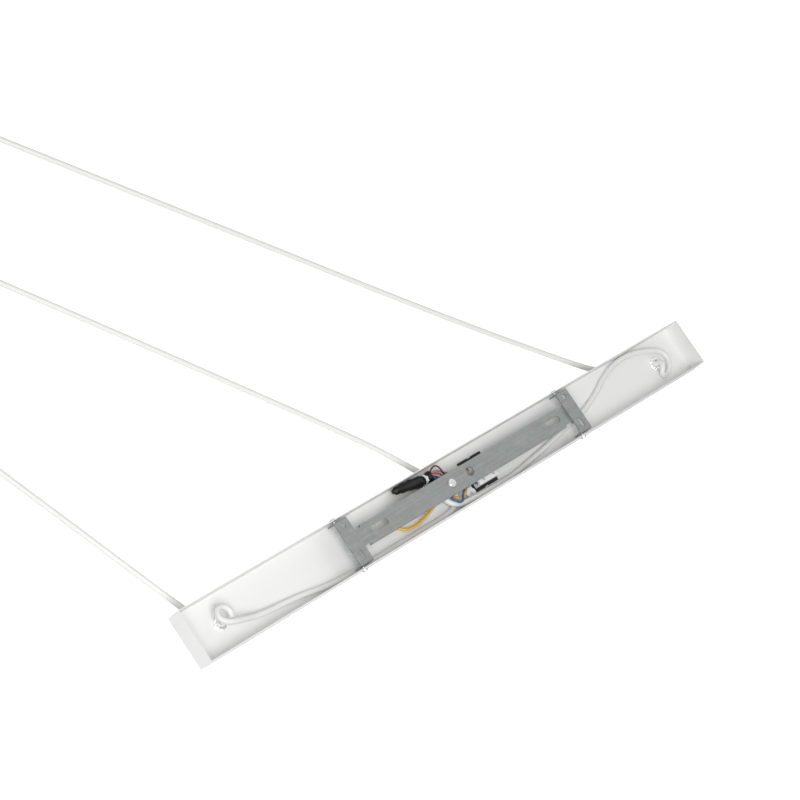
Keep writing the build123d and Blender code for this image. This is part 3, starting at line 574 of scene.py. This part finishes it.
@dataclass
class FreeCord:
    """A cord from its outlet over the surface into its coil and on to its lampholder."""

    number: int
    route: list[Flat]
    coil_radius: float
    turns: int
    length: float
    past_view: float = 55.0
    holder_reach: float = 62.0
    holder_axis: float = SURFACE + 24.5
    steps: int = 14  # control points for each turn
    shift_from: float = 0.7  # the share of a turn after which it moves to the next place
    tie_angle: float = -75.0  # degrees round the coil from +X
    tie_radius: float = 0.55
    tie_clear: float = 0.5  # from the bundle's outside to the tie's middle
    tie_lift: float = 0.6  # from the surface to the tie's middle
    seam: float = 5.0  # the cord starts this far inside the grip

    def slot(self, turn: int) -> tuple[float, float]:
        """The radius and height of a turn's place in the coil, laid two side by side."""
        row, odd = divmod(turn, 2)
        outside = (odd == 1) == (row % 2 == 1)
        if turn == self.turns:
            row, outside = math.ceil(self.turns / 2 - 0.5), True
        if turn == self.turns - 1 and self.turns % 2:
            outside = False
        side = 1 if outside else -1
        return self.coil_radius + side * CORD_RADIUS, ON_SURFACE + row * CORD_DIAMETER

    def coil(self) -> tuple[Vector, list[Point]]:
        """The coil's middle and the points of its turns.

        Returns:
            The middle, in millimetres, and the control points from the lead to the tail.
        """
        before, last = [Vector(point) for point in self.route[-2:]]
        along = (last - before).normalized()
        left = Vector((-along.y, along.x))
        first_radius, _ = self.slot(0)
        middle = last + along * self.past_view + left * first_radius
        start = math.atan2(-left.y, -left.x)
        total = self.turns + (math.pi / 2 - start) / math.tau
        count = int(total * self.steps)
        points = []
        for i in range(count + 1):
            done = i / self.steps
            turn = min(int(done), self.turns)
            here, rise = self.slot(turn)
            part = done - turn
            if turn < self.turns and part > self.shift_from:
                after, above = self.slot(turn + 1)
                ease = (part - self.shift_from) / (1 - self.shift_from)
                ease = ease * ease * (3 - 2 * ease)
                here += (after - here) * ease
                rise += (above - rise) * ease
            angle = start + done * math.tau
            reach = here / math.cos(math.pi / self.steps) ** 0.5
            points.append((middle.x + reach * math.cos(angle), middle.y + reach * math.sin(angle), rise))
        return middle, points

    def points(self) -> list[Point]:
        """Every control point of the cord, in millimetres."""
        outlet = OUTLETS[self.number - 1]
        low = GRIP_MOUTH - FIRST_DROP
        toward = (Vector(self.route[0]) - Vector((outlet, 0.0))).normalized()
        out = (low - ON_SURFACE) * 0.9
        path = [(outlet, 0.0, GRIP_MOUTH + self.seam), (outlet, 0.0, GRIP_MOUTH), (outlet, 0.0, low)]
        path.append((outlet + toward.x * out, toward.y * out, ON_SURFACE))
        path += [(x, y, ON_SURFACE) for x, y in self.route]
        middle, turns = self.coil()
        path += turns
        radius, height = self.slot(self.turns)
        side, axis = middle.y + radius, self.holder_axis
        entry = middle.x - self.holder_reach
        # Off the coil, and straight into the lampholder's cap.
        path += [
            (middle.x - 8.0, side, height + 0.2), (middle.x - 22.0, side, height + 1.0),
            (entry + 14.0, side, axis), (entry + 4.0, side, axis), (entry - 13.0, side, axis),
        ]
        return path

    def build(self, finishes: Finishes) -> None:
        """Lay the cord and tie its coil."""
        name = f"cord_{self.number}"
        cord = curve_piece(name, self.points(), CORD_RADIUS, finishes.flex)
        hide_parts(f"outer_cord_{self.number}", f"cord_coil_{self.number}")
        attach(cord, "canopy")
        tie = self.tie(finishes)
        LOG.info("%s laid", name)

    def tie(self, finishes: Finishes) -> bpy.types.Object:
        """The wire tie round the coil's bundle."""
        middle, _ = self.coil()
        rows = math.ceil(self.turns / 2 - 0.5)
        low = SURFACE + self.tie_lift
        high = SURFACE + (rows + self.turns % 2) * CORD_DIAMETER + self.tie_clear
        wide = CORD_DIAMETER + self.tie_clear
        angle = math.radians(self.tie_angle)
        out = Vector((math.cos(angle), math.sin(angle)))
        near, far = self.coil_radius - wide, self.coil_radius + wide
        loop = [
            (near, low), (self.coil_radius, low - 0.1), (far, low), (far + 0.2, (low + high) / 2), (far, high),
            (self.coil_radius, high + 0.1), (near, high), (near - 0.2, (low + high) / 2), (near, low + 0.2),
        ]
        points = [(middle.x + out.x * r, middle.y + out.y * r, z) for r, z in loop]
        tie = curve_piece(f"coil_tie_{self.number}", points, self.tie_radius, finishes.black)
        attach(tie, "canopy")
        return tie


@dataclass
class InnerCord:
    """A cord's stretch inside the canopy, with the cores that leave its cut end."""

    number: int
    route: list[Point]
    cores: list[tuple[str, list[Point]]]
    seam: float = 5.0
    core_radius: float = 1.0

    def build(self, finishes: Finishes) -> None:
        """Lay the cord and its bared cores."""
        outlet = OUTLETS[self.number - 1]
        points = [(outlet, 0.0, GRIP_MOUTH + self.seam)] + raised(self.route)
        cord = curve_piece(f"inner_flex_{self.number}", points, CORD_RADIUS, finishes.flex)
        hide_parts(f"inner_cord_{self.number}")
        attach(cord, "canopy")
        colours = {"blue": finishes.blue, "brown": finishes.brown}
        for colour, way in self.cores:
            name = f"inner_core_{self.number}_{colour}"
            core = curve_piece(name, raised(way), self.core_radius, colours[colour])
            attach(core, "canopy")
        LOG.info("inner cord %d laid", self.number)


@dataclass
class Wiring:
    """The loose cores, the black sleeve over their splice and its tie."""

    earth_route: list[Point]
    blue_route: list[Point]
    yellow_route: list[Point]
    brown_route: list[Point]
    black_route: list[Point]
    stations: list[tuple[float, float, float, float]]
    around: int = 28
    rings_per_station: int = 9
    tie_station: int = 6
    tie_around: int = 36
    tie_half: float = 1.3
    wraps_from: float = 0.8  # stations between which the sleeve is wrapped
    wraps_to: float = 4.2
    wraps_per_station: float = 1.25
    wrap_rise: float = 0.12  # the share of a wrap in which its edge stands up
    wrap_depth: float = 0.06  # this and the next two are shares of the sleeve's radius
    fold_depth: float = 0.05
    pleat_depth: float = 0.02
    flat_until: float = 1.5  # stations from the tip that is pressed flat
    tip_flatness: float = 0.75
    flatness_gain: float = 0.17
    mouth: tuple[Flat, Flat] = ((0.0, 0.80), (3.0, 0.70))  # depths and shares of the last radius
    strap_inner: float = 0.45  # these two are from the sleeve's radius at its neck
    strap_outer: float = 1.4
    strap_round: float = 0.00025
    lock_place: Flat = (0.1, 0.4)  # across the neck, and above the strap
    lock_size: Point = (2.8, 3.2, 1.8)
    tail_place: Flat = (-2.6, 0.6)
    tail_size: Point = (2.0, 3.2, 0.7)
    core_radius: float = 1.15
    earth_radius: float = 1.5
    yellow_radius: float = 1.35
    black_radius: float = 0.9
    earth_start: int = 4  # the route's point where the earth wire begins to follow the bar

    def core(self, name: str, route: list[Point], radius: float, material: bpy.types.Material, slot: str) -> None:
        """Lay one core that rides on the canopy.

        Args:
            name: The CAD node that it replaces.
            route: Its control points, with heights above the underside.
            radius: In millimetres.
            material: Its finish.
            slot: The record's material slot; not used.
        """
        piece = curve_piece(f"{name}_core", raised(route), radius, material)
        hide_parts(name)
        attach(piece, "canopy")

    def earth(self, finishes: Finishes) -> None:
        """Lay the earth wire as a plain mesh."""
        wire = curve_piece("earth_wire_core", raised(self.earth_route), self.earth_radius, finishes.earth)
        piece = as_mesh(wire)
        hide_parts("earth_wire")
        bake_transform(piece)

    def step(self, spot: float) -> float:
        """How far the sleeve's overlapping wraps swell it.

        Args:
            spot: A place along it, in stations from its tip.

        Returns:
            From -1 to 1: it springs up at a wrap's edge and falls slowly to the next.
        """
        if not self.wraps_from < spot < self.wraps_to:
            return 0.0
        part = (spot * self.wraps_per_station) % 1.0
        if part > self.wrap_rise:
            return 1.0 - 2.0 * part
        risen = part / self.wrap_rise
        return risen * 2.0 - 1.0 + 2.0 * self.wrap_rise * (1 - risen)

    def sleeve(self, finishes: Finishes) -> None:
        """Shape the tapered sleeve: a folded tip, a full body with soft dents, a tied neck and an open mouth."""
        mesh = bmesh.new()
        places = [Vector((x, y, UNDERSIDE + rise)) * MM for x, y, rise, _ in self.stations]
        rings = []
        steps = self.rings_per_station
        count = (len(places) - 1) * steps
        for i in range(count + 1):
            spot = i / steps
            low = min(int(spot), len(places) - 2)
            part = spot - low
            centre = places[low].lerp(places[low + 1], part)
            ease = part * part * (3 - 2 * part)
            radius = self.stations[low][3] * (1 - ease) + self.stations[low + 1][3] * ease
            axis = (places[low + 1] - places[low]).normalized()
            across = axis.cross(Vector((0, 0, 1))).normalized()
            upward = across.cross(axis).normalized()
            ring = []
            for j in range(self.around):
                angle = math.tau * j / self.around
                fold = self.fold_depth * math.sin(3 * angle + 2.3 * spot) * min(1.0, spot)
                dent = 1 + fold + self.pleat_depth * math.sin(7 * angle) + self.wrap_depth * self.step(spot)
                flat = 1.0 if spot > self.flat_until else self.tip_flatness + self.flatness_gain * spot
                reach = radius * dent * MM
                sideways, rise = math.cos(angle) * reach, math.sin(angle) * reach * flat
                ring.append(mesh.verts.new(centre + across * sideways + upward * rise))
            rings.append(ring)
        inner = []
        last = places[-1]
        axis = (last - places[-2]).normalized()
        for depth, share in self.mouth:
            ring = []
            for vertex in rings[-1]:
                ring.append(mesh.verts.new(last + (vertex.co - last) * share - axis * depth * MM))
            inner.append(ring)
        for first, second in zip(rings + inner, (rings + inner)[1:]):
            for j in range(self.around):
                k = (j + 1) % self.around
                mesh.faces.new((first[j], first[k], second[k], second[j]))
        mesh.faces.new(rings[0][::-1])
        mesh.faces.new(inner[-1])
        piece = mesh_piece("splice_cover", mesh, finishes.sleeve)
        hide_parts("splice_sleeve")
        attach(piece, "canopy")

    def tie(self, finishes: Finishes) -> None:
        """The pale strap round the sleeve's neck, with its lock and its cut tail."""
        x, y, rise, radius = self.stations[self.tie_station]
        centre = Vector((x, y, UNDERSIDE + rise)) * MM
        mesh = bmesh.new()
        around = self.tie_around
        half = self.tie_half * MM
        inner, outer = (radius + self.strap_inner) * MM, (radius + self.strap_outer) * MM
        rings = []
        for along, reach in ((-half, inner), (half, inner), (half, outer), (-half, outer)):
            ring = []
            for j in range(around):
                angle = math.tau * j / around
                spot = Vector((along, math.cos(angle) * reach, math.sin(angle) * reach))
                ring.append(mesh.verts.new(centre + spot))
            rings.append(ring)
        for i in range(4):
            for j in range(around):
                k = (j + 1) % around
                first, second = rings[i], rings[(i + 1) % 4]
                mesh.faces.new((first[j], first[k], second[k], second[j]))
        for (aside, above), size in ((self.lock_place, self.lock_size), (self.tail_place, self.tail_size)):
            place = Matrix.Translation(centre + Vector((0, aside * MM, outer + above * MM)))
            block = place @ Matrix.Diagonal((*[side * MM for side in size], 1.0))
            bmesh.ops.create_cube(mesh, size=1.0, matrix=block)
        piece = mesh_piece("splice_strap", mesh, finishes.nylon)
        rounded(piece, self.strap_round)
        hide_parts("splice_tie")
        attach(piece, "canopy")

    def build(self, finishes: Finishes) -> None:
        """Make all the loose wiring."""
        self.earth(finishes)
        self.core("blue_wire", self.blue_route, self.core_radius, finishes.blue, "blue_sheath")
        self.core("yellow_core", self.yellow_route, self.yellow_radius, finishes.yellow, "yellow_sheath")
        self.core("brown_wire", self.brown_route, self.core_radius, finishes.brown, "brown_sheath")
        self.core("black_wire", self.black_route, self.black_radius, finishes.thin_black, "black_sheath")
        self.sleeve(finishes)
        self.tie(finishes)
        LOG.info("wiring built")


@dataclass
class Hardware:
    """The CAD nodes that keep their shape: each gets a finish, and the listed ones get softened edges."""

    nodes: dict[str, bpy.types.Object]
    edges: dict[str, float] = field(default_factory=lambda: {
        "canopy_tray": 0.00025, "crossbar": 0.00042, "terminal_block": 0.0003, "cord_saddle": 0.0003,
    })

    def finish_of(self, node: str, finishes: Finishes) -> bpy.types.Material:
        """Choose a node's finish by what it is made of.

        Args:
            node: The CAD node's name.
            finishes: All the finishes.

        Returns:
            Its material.
        """
        table = {
            "canopy_tray": finishes.coat,
            "crossbar": finishes.galvanised,
            "ring_nuts": finishes.bright,
            "lock_washers": finishes.bright,
            "terminal_base": finishes.black,
            "terminal_block": finishes.nylon,
            "cord_saddle": finishes.nylon,
            "terminal_sleeves": finishes.brass,
            "socket_sleeves": finishes.brass,
            "outlet_seals": finishes.rubber,
        }
        starts = {
            "outlet_bush": finishes.nylon,
            "grip_cap": finishes.nylon,
            "holder_insert": finishes.ceramic,
            "holder_": finishes.moulding,
            "shade_ring": finishes.moulding,
            "centre_contact": finishes.brass,
        }
        if node in table:
            return table[node]
        for start, material in starts.items():
            if node.startswith(start):
                return material
        return finishes.plated

    def build(self, finishes: Finishes) -> None:
        """Dress every node, and soften the edges of the listed ones."""
        for name, node in self.nodes.items():
            dress(node, self.finish_of(name, finishes))
            if name in self.edges:
                # Only the bar's rounds get the lighter edge finish: a painted highlight on top of the bare cut
                # edge.
                rounded(node, self.edges[name], edge=finishes.bare_edge_and_highlight if name == "crossbar" else None)
        LOG.info("%d nodes dressed", len(self.nodes))


def free_cords() -> list[FreeCord]:
    """The three cords that lie on the surface."""
    return [
        FreeCord(
            1, [(-364.3, 27.2), (-384.2, 71.0), (-414.6, 141.6), (-457.0, 238.3)], 34.4, 5, 1.50,
        ),
        FreeCord(
            2,
            [(-15.0, 23.0), (-35.0, 53.0), (-63.0, 91.5), (-112.0, 150.4), (-224.5, 283.6), (-339.6, 417.6)],
            32.4, 4, 1.50,
        ),
        FreeCord(
            3,
            [(324.0, 9.0), (293.0, 25.5), (262.0, 49.0), (128.4, 177.6), (-61.8, 375.0), (-240.6, 559.6)],
            38.0, 2, 1.45,
        ),
    ]


def inner_cords() -> list[InnerCord]:
    """The three cords inside the canopy."""
    left = [
        (-353.0, 0.0, 9.5), (-346.5, -4.5, 11.0), (-341.0, 3.0, 12.3), (-345.5, 12.0, 13.6),
        (-355.5, 13.0, 15.0), (-360.5, 4.5, 16.4), (-355.0, -4.0, 17.4), (-344.5, -7.5, 17.0),
        (-331.0, -10.0, 12.6), (-311.0, -13.8, 7.2), (-285.0, -15.6, 4.6), (-256.0, -18.0, 4.3),
        (-228.0, -23.0, 4.3), (-199.0, -25.4, 4.3), (-150.0, -25.6, 4.3), (-95.0, -25.3, 4.3),
        (-48.0, -25.6, 4.3), (-26.0, -23.8, 4.3), (-14.5, -15.0, 4.3), (-12.2, -3.5, 4.4), (-14.5, 6.5, 4.6),
    ]
    middle = [(0.0, 0.0, 11.5), (-7.0, 1.8, 15.0), (-17.0, 4.0, 15.2), (-24.0, 6.5, 15.0)]
    right = [
        (353.0, 0.0, 11.0), (349.5, -8.0, 14.6), (345.5, -14.5, 9.5), (352.0, -18.6, 4.8),
        (363.0, -16.0, 4.5), (371.5, -7.0, 4.5), (373.5, 4.0, 4.5), (364.5, 13.0, 4.6),
        (345.0, 20.3, 4.6), (324.0, 25.0, 4.5), (299.0, 25.2, 4.4), (271.0, 18.4, 4.3),
        (243.0, 5.2, 4.3), (215.0, -4.0, 4.3), (186.0, -9.0, 4.3), (158.0, -13.2, 4.3),
        (130.0, -18.0, 4.3), (102.0, -21.4, 4.3), (73.0, -25.0, 4.3), (40.0, -25.6, 5.2),
        (15.0, -25.2, 9.2), (-4.0, -24.6, 11.0), (-19.5, -24.0, 11.4), (-31.0, -18.5, 11.2),
        (-34.5, -7.0, 9.0), (-33.0, 5.0, 6.0),
    ]
    return [
        InnerCord(1, left, [
            ("blue", [
                (-15.0, 6.0, 4.2), (-17.0, 12.0, 4.6), (-24.0, 16.5, 6.4), (-33.0, 18.0, 8.2), (-38.0, 18.2, 8.4),
            ]),
            ("brown", [
                (-14.5, 6.2, 5.6), (-14.5, 14.0, 6.0), (-22.0, 20.5, 7.4), (-32.0, 21.0, 8.6), (-38.0, 20.9, 8.6),
            ]),
        ]),
        InnerCord(2, middle, [
            ("blue", [
                (-23.5, 6.0, 14.6), (-28.0, 8.5, 14.6), (-30.0, 14.0, 12.6), (-33.0, 18.0, 10.4),
                (-38.0, 18.6, 9.8),
            ]),
            ("brown", [
                (-23.5, 7.2, 15.4), (-26.0, 11.0, 15.8), (-29.0, 18.0, 13.2), (-33.0, 20.5, 10.8),
                (-38.0, 20.4, 10.0),
            ]),
        ]),
        InnerCord(3, right, [
            ("blue", [(-33.0, 4.0, 6.2), (-31.5, 10.0, 5.4), (-33.0, 16.0, 6.6), (-38.5, 19.2, 7.8)]),
        ]),
    ]


def loose_wiring() -> Wiring:
    """The cores and the splice, as they lie beside and under the bar."""
    return Wiring(
        earth_route=[
            (-98.9, 0.8, 4.6), (-104.2, -3.4, 5.0), (-105.2, -9.8, 5.6), (-101.2, -15.4, 6.4),
            (-92.0, -18.2, 7.4), (-79.0, -18.2, 8.2), (-65.0, -15.2, 9.0), (-51.0, -10.2, 10.4),
            (-41.0, -6.0, 13.4), (-35.5, -3.6, 17.4), (-30.5, -1.9, 18.9),
        ],
        blue_route=[
            (18.5, -12.7, 8.0), (11.0, -11.2, 10.0), (3.0, -10.0, 13.6), (-5.0, -11.3, 15.2),
            (-13.0, -14.2, 16.0), (-18.5, -21.8, 16.4), (-24.5, -22.4, 16.4), (-28.3, -16.5, 16.2),
            (-29.0, -8.0, 15.2), (-29.5, 1.0, 12.6), (-29.0, 9.5, 11.0), (-31.5, 15.5, 9.2),
            (-41.5, 18.0, 8.3),
        ],
        yellow_route=[
            (18.5, -3.7, 8.0), (12.5, -3.2, 9.0), (4.5, -7.2, 10.6), (-4.0, -14.2, 11.8), (-11.5, -17.4, 11.8),
            (-18.5, -17.0, 10.8), (-24.0, -11.0, 8.8), (-23.0, -2.0, 7.0), (-19.0, 5.5, 6.4),
        ],
        brown_route=[
            (18.5, 5.3, 8.0), (9.0, 6.8, 9.6), (-1.5, 9.0, 10.4), (-11.0, 12.2, 10.6), (-18.0, 16.0, 12.8),
            (-23.5, 20.4, 14.2), (-29.5, 22.2, 12.0), (-34.5, 21.4, 9.4), (-41.5, 21.1, 8.6),
        ],
        black_route=[
            (-14.0, 4.8, 10.0), (-18.8, 9.0, 13.0), (-20.6, 16.0, 16.4), (-23.4, 24.4, 18.2),
            (-28.0, 26.8, 17.6), (-33.0, 24.0, 14.4), (-36.0, 20.6, 12.0), (-41.5, 19.6, 11.3),
        ],
        stations=[
            (-90.0, 25.0, 12.2, 2.2), (-85.0, 24.3, 12.0, 4.2), (-72.0, 22.8, 11.0, 5.2), (-58.0, 21.2, 9.8, 6.0),
            (-49.5, 20.2, 9.2, 6.4), (-46.0, 19.8, 9.2, 5.2), (-43.3, 19.6, 9.4, 4.7), (-38.5, 19.3, 9.8, 6.0),
            (-34.0, 19.2, 10.2, 6.3),
        ],
    )


def main() -> None:
    """Build the studio, the cords, the wiring and the finishes."""
    logging.basicConfig(level=logging.INFO)
    for thing in list(bpy.data.objects):
        bpy.data.objects.remove(thing)
    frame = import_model()
    Studio().build()
    finishes = Finishes()
    for cord in free_cords():
        cord.build(finishes)
    for cord in inner_cords():
        cord.build(finishes)
    loose_wiring().build(finishes)
    Hardware(frame["nodes"]).build(finishes)


if __name__ == "__main__":
    main()
